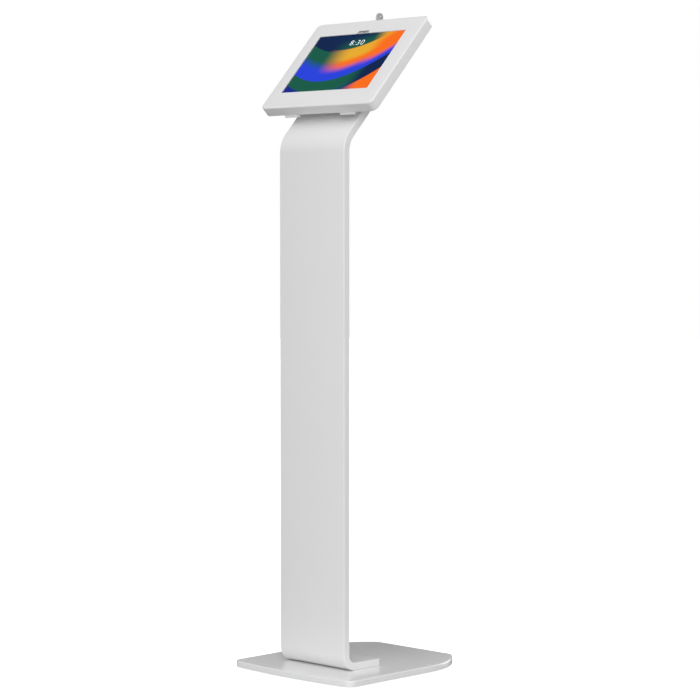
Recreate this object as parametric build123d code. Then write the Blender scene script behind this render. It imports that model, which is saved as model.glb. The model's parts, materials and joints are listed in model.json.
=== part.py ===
"""Floor-standing touchscreen kiosk: base plate, bent column and a lockable tablet enclosure.

Millimetres, +Z up, +Y towards the back.  The origin is on the floor, at the middle of the
base plate.  Pieces of the head are drawn in the head's own frame, where x runs across the
face, y runs up it from its lower edge, and a depth is measured from the face backwards.
"""
from build123d import *
import os
from math import asin, cos, degrees, radians, sin, sqrt

# ------------------------------------------------------------------ driving dimensions
# base plate and its pads
base_width = 313.0
base_depth = 350.0
base_thickness = 11.6
base_bow = 11.0              # how far the front edge swells past its corners
base_front_radius = 18.0
base_tail_length = 122.0     # length over which the sides curve in to the straight back edge
base_tail_curve = 155.0      # radius of that curve
base_tail_radius = 6.0       # where the curve meets the back edge
base_edge_radius = 2.0
pad_diameter = 26.0
pad_thickness = 1.5
pad_inset = 44.0             # from the plate's edges to a pad's centre
anchor_spacing_x = 286.0
anchor_spacing_y = 210.0
anchor_front_inset = 28.0
anchor_hole = 8.4

# column: one bent steel sheet with a flange down each side and across each end
column_width = 170.0
column_depth = 14.0
column_sheet = 3.0
column_edge_radius = 1.6
column_setback = 66.4        # from the front of the base to the column's front
foot_length = 95.0           # from the column's front to the foot's rear end
foot_bend_radius = 30.0      # outside radii of the two bends
neck_bend_radius = 54.0
column_rise = 964.0          # from the base's top to the start of the neck bend
face_tilt = 47.0             # the neck and the face above the horizontal, in degrees
neck_length = 216.0

# screws that hold the foot to the base
foot_screw = 8.0
foot_screw_head = 14.0
foot_screw_head_height = 4.4
foot_screw_depth = 9.0
foot_screw_spacing_x = 110.0
foot_screw_spacing_y = 32.0

# bent cover that closes the back of the column from foot to neck
cover_sheet = 2.0
cover_screw_spacing_x = 120.0
cover_screw_rows = 4
cover_screw_end_inset = 55.0     # from the bends to the first and last screws
cable_outlet_rise = 46.0         # from the foot bend to the outlet's middle
cover_screw = 4.0
cover_screw_head = 7.6
cover_screw_head_height = 2.4
cover_screw_grip = 5.0
standoff_diameter = 9.0
cable_hole = 30.0
grommet_wall = 3.0
grommet_lip = 3.0
grommet_lip_thickness = 1.6

# front frame of the head
head_width = 292.0
head_height = 231.0
frame_depth = 20.6
frame_sheet = 2.0
frame_corner_radius = 12.0
frame_edge_radius = 2.5
aperture_width = 227.0
aperture_height = 153.7
aperture_x = -4.2            # the aperture sits a little left of the middle
aperture_bottom = 41.7
aperture_corner_radius = 1.5
aperture_bevel = 0.6
notch_width = 33.0           # camera notch in the aperture's upper edge
notch_height = 7.5
notch_slope = 3.0
neck_reveal = 30.8           # neck showing below the head

# tray behind the frame, and the spacer that holds it off the neck
tray_sheet = 2.0
tray_gap = 1.0               # between the tray's edges and the frame's walls
tray_proud = 0.3             # the tray stands this far behind the frame's walls
tray_flange = 8.0
tray_flange_end = 10.0       # a flange stops this short of the tray's corners
tray_corner_radius = 8.0
spacer_size = 130.0
spacer_depth = 18.6
spacer_wall = 6.0
spacer_corner = 24.0         # solid corner round each bolt
spacer_corner_radius = 6.0
mount_spacing = 100.0
mount_bolt = 6.0
mount_bolt_head = 10.5
mount_bolt_head_height = 3.3
mount_nut_width = 10.0
mount_nut_height = 5.0
mount_bolt_tail = 1.5

# hinges along the head's lower edge
hinge_spacing = 146.0
hinge_width = 38.0
hinge_knuckle = 18.0         # the frame's knuckle, between the two of the tray's leaf
hinge_radius = 2.2
hinge_pin = 2.0
hinge_drop = 0.7             # pin's axis below the frame's lower wall
hinge_setback = 2.4          # pin's axis behind the frame's rear edge
hinge_pin_end = 0.5          # how far a pin shows at each end of its knuckles
knuckle_gap = 0.3            # between neighbouring knuckles
leaf_sheet = 2.0
leaf_height = 18.0
rivet_diameter = 3.2
rivet_head = 6.0
rivet_head_height = 1.0
rivet_spacing = 22.0

# cam lock in the frame's upper wall
lock_depth = 10.5            # its axis behind the face
lock_barrel = 12.6
lock_length = 17.0           # from the upper wall's outside to the barrel's inner end
lock_flange = 16.5
lock_flange_height = 1.5
lock_nut_diameter = 16.0
lock_nut_height = 2.5
plug_diameter = 9.0
plug_tail = 4.5
plug_tail_length = 4.7
cam_thickness = 2.0
cam_reach = 7.2              # from the lock's axis to the cam's end
cam_width = 7.0
cam_end_gap = 0.6
keyway_width = 6.2
key_thickness = 2.0
key_blade = 15.0
key_bow = 18.5
key_bow_height = 17.5        # bow's centre above the upper wall
key_bow_thickness = 2.6
key_bow_edge = 0.5
key_shoulder_width = 8.6
key_shoulder_gap = 0.6       # between the shoulder and the lock
key_end_gap = 0.5            # beyond the blade's end, in its slot
key_hole = 3.4

# strike that the cam turns behind
strike_sheet = 1.8
strike_width = 3.2
strike_lip_x = 4.4
strike_upright_x = 9.2
strike_lip_gap = 1.2         # between the lip and the cam when locked
strike_foot = 14.0
strike_foot_width = 7.0
strike_screw = 2.5
strike_screw_head = 4.6
strike_screw_head_height = 1.4

# tablet, and the holders that seat it on the tray
tablet_width = 248.6
tablet_height = 179.5
tablet_thickness = 7.0
tablet_corner_radius = 10.0
tablet_edge_radius = 1.0
tablet_wall = 4.3
tablet_floor = 0.8
glass_inset = 1.0
glass_thickness = 0.9
display_width = 229.0
display_height = 160.0
display_thickness = 2.0
glass_gap = 0.3              # between the gasket and the glass
gasket_thickness = 0.7
gasket_width = 8.0
gasket_setback = 1.0
gasket_corner_radius = 3.0
holder_arm = 32.0
holder_wall = 3.0
holder_gap = 0.5
holder_pad = 22.0
holder_pad_thickness = 1.0
holder_pad_corner_radius = 2.0
holder_lip_drop = 1.5        # holder's walls below the tablet's front
holder_screw = 3.0
holder_screw_head = 5.6
holder_screw_head_height = 1.7
holder_screw_depth = 6.0
holder_screw_gap = 0.5       # beyond the screw's end, in its hole
battery_width = 92.0
battery_height = 120.0
battery_thickness = 2.6
battery_spacing = 104.0
battery_corner_radius = 2.0
battery_drop = 12.0          # below the screen's middle
board_width = 12.0
board_height = 150.0
board_thickness = 1.6
board_gap = 2.0
camera_diameter = 3.4
camera_depth = 1.8
camera_gap = 0.6             # between the camera and the display's upper edge
button_length = 11.0
button_width = 2.4
button_offset = 0.4          # behind the middle of the tablet's edge
button_proud = 0.6
button_inside = 1.0          # how far a button reaches past the shell's wall
button_clear = 4.0           # from a corner holder to the nearest button
volume_spacing = 15.0
usb_width = 9.0
usb_height = 3.2
usb_depth = 3.6
usb_wall = 0.4

# fits
sliding_fit = 0.1            # per side, for what slides or turns
loose_fit = 0.5              # per side, for what drops into place
thread_fit = 0.03            # per side, for screws in their threads
button_gap = 0.15
socket_fit = 0.02            # per side, for the socket pressed into the tablet's shell

# modelling allowances
past = 1.0                   # how far a cut runs past the surfaces that it opens
overlap = 0.5                # how far two bars of one piece run into each other
same_place = 0.01            # nearer than this, two points count as one

# ------------------------------------------------------------------ derived places
base_front = -base_depth / 2
base_shoulder = base_depth / 2 - base_tail_length
base_curve_x = base_width / 2 - base_tail_curve
base_tail_x = base_curve_x + sqrt(base_tail_curve ** 2 - base_tail_length ** 2)
base_top = pad_thickness + base_thickness
column_front = base_front + column_setback
column_back = column_front + column_depth
column_web = column_front + column_sheet
column_inside = column_width - 2 * column_sheet
foot_end = column_front + foot_length
foot_bend_top = base_top + foot_bend_radius
neck_bend_start = base_top + column_rise
neck_turn = 90 - face_tilt
up_face = Vector(0, cos(radians(face_tilt)), sin(radians(face_tilt)))
off_face = Vector(0, -sin(radians(face_tilt)), cos(radians(face_tilt)))
neck_bend_centre = Vector(0, column_front + neck_bend_radius, neck_bend_start)
neck_start = neck_bend_centre + off_face * neck_bend_radius
tray_front = frame_depth + tray_proud - tray_sheet
tray_back = tray_front + tray_sheet
neck_depth = tray_back + spacer_depth
face_origin = neck_start + up_face * neck_reveal + off_face * neck_depth
head_frame = Plane(origin=face_origin, x_dir=(1, 0, 0), z_dir=off_face).location

tray_width = head_width - 2 * (frame_sheet + tray_gap)
tray_height = head_height - 2 * (frame_sheet + tray_gap)
head_middle = head_height / 2
hinge_axis_y = -hinge_drop
hinge_axis_depth = frame_depth + hinge_setback
aperture_y = aperture_bottom + aperture_height / 2
tablet_front = frame_sheet + gasket_thickness + glass_gap
tablet_back = tablet_front + tablet_thickness
glass_back = tablet_front + glass_thickness
display_back = glass_back + display_thickness
tablet_inside = tablet_back - tablet_floor
tablet_top = aperture_y + tablet_height / 2
tablet_left = aperture_x - tablet_width / 2
tablet_right = aperture_x + tablet_width / 2
button_depth = tablet_front + tablet_thickness / 2 + button_offset
lock_inner_end = head_height - lock_length
plug_tail_end = lock_inner_end - plug_tail_length
cam_low = plug_tail_end + cam_end_gap

MIN = (Align.CENTER, Align.CENTER, Align.MIN)


# ------------------------------------------------------------------ shape helpers
def slab(width, height, front, back, x=0.0, y=0.0, radius=0.0):
    """A plate of the head that fills the depths from front to back, centred on x, y."""
    outline = RectangleRounded(width, height, radius) if radius else Rectangle(width, height)
    return Pos(x, y, -back) * extrude(outline, amount=back - front)


def rod(diameter, front, back, x=0.0, y=0.0):
    """A round bar of the head, square to its face, between two depths."""
    return Pos(x, y, -back) * Cylinder(diameter / 2, back - front, align=MIN)


def rod_across(diameter, length, x, y, depth):
    """A round bar of the head that runs across it, centred on x."""
    return Pos(x, y, -depth) * Rot(0, 90, 0) * Cylinder(diameter / 2, length)


def rod_up(diameter, low, high, depth, x=0.0):
    """A round bar of the head that runs up its face, between two heights."""
    return Pos(x, low, -depth) * Rot(-90, 0, 0) * Cylinder(diameter / 2, high - low, align=MIN)


def bar(x_range, y_range, depth_range):
    """A square-edged block of the head between the given limits."""
    size = [high - low for low, high in (x_range, y_range, depth_range)]
    corner = Pos(x_range[0], y_range[0], -depth_range[1])
    return corner * Box(*size, align=(Align.MIN, Align.MIN, Align.MIN))


def grid(spacing_x, spacing_y, x=0.0, y=0.0):
    """The four corners of a rectangle of holes."""
    return [(x + i * spacing_x / 2, y + j * spacing_y / 2) for i in (-1, 1) for j in (-1, 1)]


def grommet(sheet):
    """A rubber ring that lines the cable hole of a sheet lying from z = 0 to z = sheet."""
    lip_radius = cable_hole / 2 + grommet_lip
    body = Pos(0, 0, -grommet_lip_thickness) * Cylinder(
        cable_hole / 2 - sliding_fit, sheet + 2 * grommet_lip_thickness, align=MIN)
    for low in (-grommet_lip_thickness, sheet):
        body += Pos(0, 0, low) * Cylinder(lip_radius, grommet_lip_thickness, align=MIN)
    opening = Cylinder(cable_hole / 2 - grommet_wall, 4 * sheet + 4 * grommet_lip_thickness)
    return body - opening


def ordered(first, second):
    return (min(first, second), max(first, second))


# ------------------------------------------------------------------ base
def base_outline():
    """Plan of the base plate: bowed front, straight sides that curve in, straight back."""
    side = base_width / 2
    front_corner = base_front + base_bow
    back = base_depth / 2
    turn = degrees(asin(base_tail_length / base_tail_curve))
    edges = [
        ThreePointArc((-side, front_corner), (0, base_front), (side, front_corner)),
        Line((side, front_corner), (side, base_shoulder)),
        CenterArc((base_curve_x, base_shoulder), base_tail_curve, 0, turn),
        Line((base_tail_x, back), (-base_tail_x, back)),
        CenterArc((-base_curve_x, base_shoulder), base_tail_curve, 180 - turn, turn),
        Line((-side, base_shoulder), (-side, front_corner)),
    ]
    plan = make_face(edges)
    for height, radius in ((front_corner, base_front_radius), (back, base_tail_radius)):
        level = [v for v in plan.vertices() if abs(v.Y - height) < same_place]
        plan = fillet(level, radius)
    return plan


def foot_screw_places():
    middle = (column_front + foot_bend_radius + foot_end) / 2
    return grid(foot_screw_spacing_x, foot_screw_spacing_y, 0.0, middle)


def anchor_places():
    row = base_front + anchor_front_inset
    return grid(anchor_spacing_x, anchor_spacing_y, 0.0, row + anchor_spacing_y / 2)


def base_plate():
    plate = Pos(0, 0, pad_thickness) * extrude(base_outline(), amount=base_thickness)
    rim = plate.faces().sort_by(Axis.Z)[-1].edges()
    plate = fillet(rim, base_edge_radius)
    for x, y in anchor_places():
        plate -= Pos(x, y, pad_thickness) * Cylinder(anchor_hole / 2, 3 * base_thickness)
    tapped = Cylinder(foot_screw / 2 + thread_fit, 2 * (foot_screw_depth + past))
    for x, y in foot_screw_places():
        plate -= Pos(x, y, base_top) * tapped
    return plate


def base_pads():
    side = base_width / 2 - pad_inset
    places = [(-side, base_front + pad_inset), (side, base_front + pad_inset),
              (pad_diameter - base_tail_x, base_depth / 2 - pad_diameter),
              (base_tail_x - pad_diameter, base_depth / 2 - pad_diameter), (0, 0)]
    pad = Cylinder(pad_diameter / 2, pad_thickness, align=MIN)
    return [Pos(x, y, 0) * pad for x, y in places]


# ------------------------------------------------------------------ column
def run_edges(depth, end_inset=0.0):
    """Side view of the line that lies at a depth behind the column's front, foot to neck."""
    bend_y = column_front + foot_bend_radius
    floor = base_top + depth
    neck_low = neck_bend_centre + off_face * (neck_bend_radius - depth)
    neck_high = neck_low + up_face * (neck_length - end_inset)
    return [
        Line((foot_end - end_inset, floor), (bend_y, floor)),
        CenterArc((bend_y, foot_bend_top), foot_bend_radius - depth, 180, 90),
        Line((column_front + depth, foot_bend_top), (column_front + depth, neck_bend_start)),
        CenterArc((neck_bend_centre.Y, neck_bend_centre.Z), neck_bend_radius - depth,
                  180 - neck_turn, neck_turn),
        Line((neck_low.Y, neck_low.Z), (neck_high.Y, neck_high.Z)),
    ]


def bent_strip(near, far, width, end_inset=0.0):
    """A strip as wide as given that follows the column between two depths."""
    front_run = run_edges(near, end_inset)
    back_run = run_edges(far, end_inset)
    ends = [Line(front_run[0] @ 0, back_run[0] @ 0), Line(front_run[-1] @ 1, back_run[-1] @ 1)]
    outline = make_face(front_run + back_run + ends)
    return extrude(Plane.YZ * outline, amount=width / 2, both=True)


def column():
    """Bent sheet with its flanges all round, and every hole that its web carries."""
    body = bent_strip(0, column_depth, column_width)
    front_run = [edge @ 0.5 for edge in run_edges(0)]
    long_edges = [
        edge for edge in body.edges()
        if any(abs((edge @ 0.5).Y - p.X) + abs((edge @ 0.5).Z - p.Y) < same_place for p in front_run)
        and abs(abs((edge @ 0.5).X) - column_width / 2) < same_place
    ]
    body = fillet(long_edges, column_edge_radius)
    body -= bent_strip(column_sheet, column_depth + past, column_inside, column_sheet)
    for x, y in foot_screw_places():
        body -= Pos(x, y, base_top) * Cylinder(foot_screw / 2 + loose_fit, 4 * column_sheet)
    for x, y in grid(mount_spacing, mount_spacing, 0.0, head_middle):
        body -= head_frame * rod(mount_bolt + 2 * loose_fit, neck_depth - past,
                                 neck_depth + column_sheet + past, x, y)
    body -= head_frame * rod(cable_hole, neck_depth - past, neck_depth + column_sheet + past,
                             0.0, head_middle)
    return body


def foot_screws():
    seat = base_top + column_sheet
    shank = Pos(0, 0, seat - column_sheet - foot_screw_depth) * Cylinder(
        foot_screw / 2, foot_screw_depth + column_sheet + overlap, align=MIN)
    head = Pos(0, 0, seat) * Cylinder(foot_screw_head / 2, foot_screw_head_height, align=MIN)
    head = fillet(head.edges().sort_by(Axis.Z)[-1], foot_screw_head_height / 3)
    socket = Pos(0, 0, seat + foot_screw_head_height / 2) * extrude(
        RegularPolygon(foot_screw_head / 4, 6), amount=foot_screw_head_height)
    screw = shank + head - socket
    return [Pos(x, y, 0) * screw for x, y in foot_screw_places()]


# ------------------------------------------------------------------ column's back cover
cover_front = column_back - cover_sheet
cable_outlet_z = foot_bend_top + cable_outlet_rise


def cover_screw_places():
    low = foot_bend_top + cover_screw_end_inset
    high = neck_bend_start - cover_screw_end_inset
    step = (high - low) / (cover_screw_rows - 1)
    return [(side * cover_screw_spacing_x / 2, low + row * step)
            for row in range(cover_screw_rows) for side in (-1, 1)]


def bar_back(diameter, y_low, y_high, x, z):
    """A round bar of the column that runs from front to back."""
    return Pos(x, y_low, z) * Rot(-90, 0, 0) * Cylinder(diameter / 2, y_high - y_low, align=MIN)


def column_back_cover():
    """Bent sheet that drops between the column's flanges, flush with their edges."""
    plate = bent_strip(column_depth - cover_sheet, column_depth, column_inside - 2 * loose_fit,
                       column_sheet + loose_fit)
    for x, z in cover_screw_places():
        plate -= bar_back(cover_screw + 2 * sliding_fit, cover_front - past, column_back + past, x, z)
    return plate - bar_back(cable_hole, cover_front - past, column_back + past, 0.0, cable_outlet_z)


def cover_standoffs():
    studs = []
    for x, z in cover_screw_places():
        stud = bar_back(standoff_diameter, column_web, cover_front, x, z)
        bore = bar_back(cover_screw + 2 * thread_fit, cover_front - cover_screw_grip - past,
                        cover_front + past, x, z)
        studs.append(stud - bore)
    return studs


def cover_screws():
    screws = []
    for x, z in cover_screw_places():
        shank = bar_back(cover_screw, cover_front - cover_screw_grip, column_back + overlap, x, z)
        head = bar_back(cover_screw_head, column_back, column_back + cover_screw_head_height, x, z)
        head = fillet(head.edges().sort_by(Axis.Y)[-1], cover_screw_head_height / 2)
        recess = Pos(x, column_back + cover_screw_head_height / 2, z) * Rot(-90, 0, 0) * extrude(
            RegularPolygon(cover_screw_head / 4, 6), amount=cover_screw_head_height)
        screws.append(shank + head - recess)
    return screws


def outlet_grommet():
    return Pos(0, cover_front, cable_outlet_z) * Rot(-90, 0, 0) * grommet(cover_sheet)


def neck_grommet():
    return head_frame * (Pos(0, head_middle, -neck_depth - column_sheet) * grommet(column_sheet))


# ------------------------------------------------------------------ spacer and its bolts
def mount_spacer():
    """Square cast spacer, open in the middle for the cable, with a bolt through each corner."""
    inner = spacer_size - 2 * spacer_wall
    cross = spacer_size - 2 * spacer_corner
    block = slab(spacer_size, spacer_size, tray_back, neck_depth, 0.0, head_middle, spacer_corner_radius)
    for width, height in ((inner, cross), (cross, inner)):
        block -= slab(width, height, tray_back - past, neck_depth + past, 0.0, head_middle)
    for x, y in grid(mount_spacing, mount_spacing, 0.0, head_middle):
        block -= rod(mount_bolt + 2 * loose_fit, tray_back - past, neck_depth + past, x, y)
    return head_frame * block


def mount_bolts():
    end = neck_depth + column_sheet + mount_nut_height + mount_bolt_tail
    bolts = []
    for x, y in grid(mount_spacing, mount_spacing, 0.0, head_middle):
        shank = rod(mount_bolt, tray_front - overlap, end, x, y)
        head = rod(mount_bolt_head, tray_front - mount_bolt_head_height, tray_front, x, y)
        socket = Pos(x, y, -tray_front + mount_bolt_head_height / 2) * extrude(
            RegularPolygon(mount_bolt_head / 4, 6), amount=mount_bolt_head_height)
        bolts.append(head_frame * (shank + head - socket))
    return bolts


def mount_nuts():
    top = neck_depth + column_sheet
    nuts = []
    for x, y in grid(mount_spacing, mount_spacing, 0.0, head_middle):
        hexagon = RegularPolygon(mount_nut_width / 2, 6, major_radius=False)
        nut = Pos(x, y, -top - mount_nut_height) * extrude(hexagon, amount=mount_nut_height)
        bore = rod(mount_bolt + 2 * thread_fit, top - past, top + mount_nut_height + past, x, y)
        nuts.append(head_frame * (nut - bore))
    return nuts


# ------------------------------------------------------------------ tray
holder_centre_inset = holder_arm / 2


def holder_corners():
    """The tablet's four corners, each with the signs that point into the tablet."""
    corners = []
    for i in (-1, 1):
        for j in (-1, 1):
            x = aperture_x + i * tablet_width / 2
            y = aperture_y + j * tablet_height / 2
            corners.append((x, y, -i, -j))
    return corners


def holder_screw_places():
    return [(x + i * holder_centre_inset, y + j * holder_centre_inset)
            for x, y, i, j in holder_corners()]


def rivet_places():
    return [(side * hinge_spacing / 2 + end * rivet_spacing / 2, frame_sheet + tray_gap + leaf_height / 2)
            for side in (-1, 1) for end in (-1, 1)]


strike_middle = cam_low + cam_thickness / 2
strike_screw_x = strike_upright_x + strike_sheet + strike_foot / 2


def back_tray():
    """Flat back of the head, with a stiffening flange down each side."""
    tray = slab(tray_width, tray_height, tray_front, tray_back, 0.0, head_middle, tray_corner_radius)
    flange_height = tray_height - 2 * (tray_corner_radius + tray_flange_end)
    for side in (-1, 1):
        x = side * (tray_width / 2 - tray_sheet / 2)
        tray += slab(tray_sheet, flange_height, tray_front - tray_flange, tray_back, x, head_middle)
    holes = [(mount_bolt + 2 * loose_fit, x, y)
             for x, y in grid(mount_spacing, mount_spacing, 0.0, head_middle)]
    holes += [(holder_screw + 2 * sliding_fit, x, y) for x, y in holder_screw_places()]
    holes += [(rivet_diameter + 2 * thread_fit, x, y) for x, y in rivet_places()]
    holes += [(strike_screw + 2 * thread_fit, strike_screw_x, strike_middle)]
    holes += [(cable_hole, 0.0, head_middle)]
    for diameter, x, y in holes:
        tray -= rod(diameter, tray_front - past, tray_back + past, x, y)
    return head_frame * tray


def tray_grommet():
    return head_frame * (Pos(0, head_middle, -tray_back) * grommet(tray_sheet))


def hinge_leaves():
    """Two leaves behind the tray; each ends in two knuckles with a gap for the frame's one."""
    leaves = []
    top = frame_sheet + tray_gap + leaf_height
    gap = hinge_knuckle + 2 * knuckle_gap
    for side in (-1, 1):
        x = side * hinge_spacing / 2
        leaf = bar((x - hinge_width / 2, x + hinge_width / 2), (hinge_axis_y, top),
                   (tray_back, tray_back + leaf_sheet))
        leaf += rod_across(2 * hinge_radius, hinge_width, x, hinge_axis_y, hinge_axis_depth)
        leaf -= bar((x - gap / 2, x + gap / 2),
                    (hinge_axis_y - hinge_radius - past, frame_sheet + tray_gap),
                    (hinge_axis_depth - hinge_radius - past, hinge_axis_depth + hinge_radius + past))
        leaf -= rod_across(hinge_pin + 2 * thread_fit, 2 * hinge_width, x, hinge_axis_y, hinge_axis_depth)
        for rivet_x, rivet_y in rivet_places():
            leaf -= rod(rivet_diameter + 2 * thread_fit, tray_back - past, tray_back + leaf_sheet + past,
                        rivet_x, rivet_y)
        leaves.append(head_frame * leaf)
    return leaves


def hinge_pins():
    length = hinge_width + 2 * hinge_pin_end
    return [head_frame * rod_across(hinge_pin, length, side * hinge_spacing / 2,
                                    hinge_axis_y, hinge_axis_depth) for side in (-1, 1)]


def hinge_rivets():
    rivets = []
    back = tray_back + leaf_sheet
    for x, y in rivet_places():
        rivet = rod(rivet_diameter, tray_front - rivet_head_height, back + rivet_head_height, x, y)
        rivet += rod(rivet_head, tray_front - rivet_head_height, tray_front, x, y)
        rivet += rod(rivet_head, back, back + rivet_head_height, x, y)
        rivets.append(head_frame * rivet)
    return rivets


# ------------------------------------------------------------------ front frame
def front_frame():
    """Pressed shell with the screen's aperture, its camera notch and the hinge knuckles."""
    radius = frame_corner_radius
    shell = slab(head_width, head_height, 0, frame_depth, 0.0, head_middle, radius)
    shell = fillet(shell.faces().sort_by(Axis.Z)[-1].edges(), frame_edge_radius)
    shell -= slab(head_width - 2 * frame_sheet, head_height - 2 * frame_sheet, frame_sheet,
                  frame_depth + past, 0.0, head_middle, radius - frame_sheet)
    for side in (-1, 1):
        x = side * hinge_spacing / 2
        shell += bar((x - hinge_knuckle / 2, x + hinge_knuckle / 2), (0, frame_sheet),
                     (frame_depth - overlap, hinge_axis_depth))
        shell += rod_across(2 * hinge_radius, hinge_knuckle, x, hinge_axis_y, hinge_axis_depth)
        shell -= rod_across(hinge_pin + 2 * sliding_fit, hinge_width, x, hinge_axis_y, hinge_axis_depth)
    shell -= aperture_cut()
    shell -= rod_up(lock_barrel + 2 * thread_fit, head_height - frame_sheet - past,
                    head_height + past, lock_depth)
    return head_frame * shell


def aperture_cut():
    """The aperture with its notch, opening out by a small bevel at the face."""
    top = aperture_y + aperture_height / 2
    window = RectangleRounded(aperture_width, aperture_height, aperture_corner_radius)
    window = Pos(aperture_x, aperture_y) * window
    half = notch_width / 2
    notch = Polygon((aperture_x - half, top - overlap), (aperture_x + half, top - overlap),
                    (aperture_x + half, top), (aperture_x + half - notch_slope, top + notch_height),
                    (aperture_x - half + notch_slope, top + notch_height),
                    (aperture_x - half, top), align=None)
    outline = (window + notch).face()
    straight = Pos(0, 0, -frame_sheet - past) * extrude(outline, amount=frame_sheet + 2 * past)
    flare = Pos(0, 0, -aperture_bevel) * extrude(outline, amount=2 * aperture_bevel, taper=-45)
    return straight + flare


def frame_gasket():
    """Foam strip round the aperture, on the back of the face."""
    margin = 2 * gasket_setback
    back = frame_sheet + gasket_thickness
    ring = slab(aperture_width + margin + 2 * gasket_width,
                aperture_height + margin + 2 * gasket_width, frame_sheet, back,
                aperture_x, aperture_y, gasket_corner_radius)
    ring -= slab(aperture_width + margin, aperture_height + margin, frame_sheet - past, back + past,
                 aperture_x, aperture_y)
    top = aperture_y + aperture_height / 2
    ring -= slab(notch_width + margin, 2 * (gasket_width + gasket_setback + past),
                 frame_sheet - past, back + past, aperture_x, top + gasket_setback)
    return head_frame * ring


# ------------------------------------------------------------------ lock and key
def lock_body():
    body = rod_up(lock_barrel, lock_inner_end, head_height, lock_depth)
    body += rod_up(lock_flange, head_height, head_height + lock_flange_height, lock_depth)
    bore = rod_up(plug_diameter + 2 * sliding_fit, lock_inner_end - past,
                  head_height + lock_flange_height + past, lock_depth)
    return head_frame * (body - bore)


def lock_nut():
    top = head_height - frame_sheet
    nut = rod_up(lock_nut_diameter, top - lock_nut_height, top, lock_depth)
    bore = rod_up(lock_barrel + 2 * thread_fit, top - lock_nut_height - past, top + past, lock_depth)
    return head_frame * (nut - bore)


def lock_plug():
    """Turning core of the lock, with the keyway and the tail that carries the cam."""
    top = head_height + lock_flange_height
    plug = rod_up(plug_diameter, lock_inner_end, top, lock_depth)
    plug += rod_up(plug_tail, plug_tail_end, lock_inner_end, lock_depth)
    half_thick = key_thickness / 2 + sliding_fit
    half_wide = keyway_width / 2 + sliding_fit
    plug -= bar((-half_thick, half_thick), (top - key_blade - key_end_gap, top + past),
                (lock_depth - half_wide, lock_depth + half_wide))
    return head_frame * plug


def lock_cam():
    """Cam on the plug's tail; it points at the tray when the lock is open."""
    high = cam_low + cam_thickness
    cam = rod_up(cam_width, cam_low, high, lock_depth)
    arm = bar((-cam_width / 2, cam_width / 2), (cam_low, high),
              (lock_depth, lock_depth + cam_reach))
    bore = rod_up(plug_tail + 2 * thread_fit, cam_low - past, high + past, lock_depth)
    return head_frame * (cam + arm - bore)


def key():
    top = head_height + lock_flange_height
    bow_y = head_height + key_bow_height
    blade = bar((-key_thickness / 2, key_thickness / 2), (top - key_blade, bow_y),
                (lock_depth - keyway_width / 2, lock_depth + keyway_width / 2))
    half = key_shoulder_width / 2
    shoulder = bar((-key_bow_thickness / 2, key_bow_thickness / 2), (top + key_shoulder_gap, bow_y),
                   (lock_depth - half, lock_depth + half))
    bow = rod_across(key_bow, key_bow_thickness, 0.0, bow_y, lock_depth)
    bow = fillet(bow.edges().filter_by(GeomType.CIRCLE), key_bow_edge)
    hole = rod_across(key_hole, key_bow_thickness + 2 * past, 0.0, bow_y + key_bow / 4, lock_depth)
    return head_frame * (blade + shoulder + bow - hole)


def lock_strike():
    """Bent hook on the tray: the cam, once turned, lies behind its lip."""
    low = strike_middle - strike_width / 2
    high = strike_middle + strike_width / 2
    lip_back = lock_depth - cam_width / 2 - strike_lip_gap
    lip_front = lip_back - strike_sheet
    outer = strike_upright_x + strike_sheet
    hook = bar((strike_lip_x, outer), (low, high), (lip_front, lip_back))
    hook += bar((strike_upright_x, outer), (low, high), (lip_front, tray_front))
    hook += bar((strike_upright_x, outer + strike_foot), (low, low + strike_foot_width),
                (tray_front - strike_sheet, tray_front))
    hole = rod(strike_screw + 2 * thread_fit, tray_front - strike_sheet - past, tray_front + past,
               strike_screw_x, strike_middle)
    return head_frame * (hook - hole)


def strike_fixing():
    front = tray_front - strike_sheet
    screw = rod(strike_screw, front - overlap, tray_back, strike_screw_x, strike_middle)
    screw += rod(strike_screw_head, front - strike_screw_head_height, front, strike_screw_x, strike_middle)
    return head_frame * screw


# ------------------------------------------------------------------ tablet and its holders
def corner_holders():
    """Four moulded corners that the tablet drops into."""
    holders = []
    seat = tablet_back + holder_pad_thickness
    wall_front = tablet_front + holder_lip_drop
    reach = holder_gap + holder_wall
    for x, y, i, j in holder_corners():
        block = bar(ordered(x - i * reach, x + i * holder_arm), ordered(y - j * reach, y + j * holder_arm),
                    (wall_front, tray_front))
        block -= bar(ordered(x - i * holder_gap, x + 2 * i * holder_arm),
                     ordered(y - j * holder_gap, y + 2 * j * holder_arm), (wall_front - past, seat))
        screw_x = x + i * holder_centre_inset
        screw_y = y + j * holder_centre_inset
        block -= rod(holder_screw + 2 * thread_fit, tray_front - holder_screw_depth, tray_front + past,
                     screw_x, screw_y)
        holders.append(head_frame * block)
    return holders


def holder_pads():
    back = tablet_back + holder_pad_thickness
    return [head_frame * slab(holder_pad, holder_pad, tablet_back, back, x, y, holder_pad_corner_radius)
            for x, y in holder_screw_places()]


def holder_screws():
    screws = []
    for x, y in holder_screw_places():
        screw = rod(holder_screw, tray_front - holder_screw_depth + holder_screw_gap,
                    tray_back + overlap, x, y)
        screw += rod(holder_screw_head, tray_back, tray_back + holder_screw_head_height, x, y)
        screws.append(head_frame * screw)
    return screws


button_inset = holder_arm + button_clear + button_length / 2
button_places = {
    "power_button": ("left", tablet_top - button_inset),
    "volume_up_button": ("top", tablet_left + button_inset),
    "volume_down_button": ("top", tablet_left + button_inset + volume_spacing),
}


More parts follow.
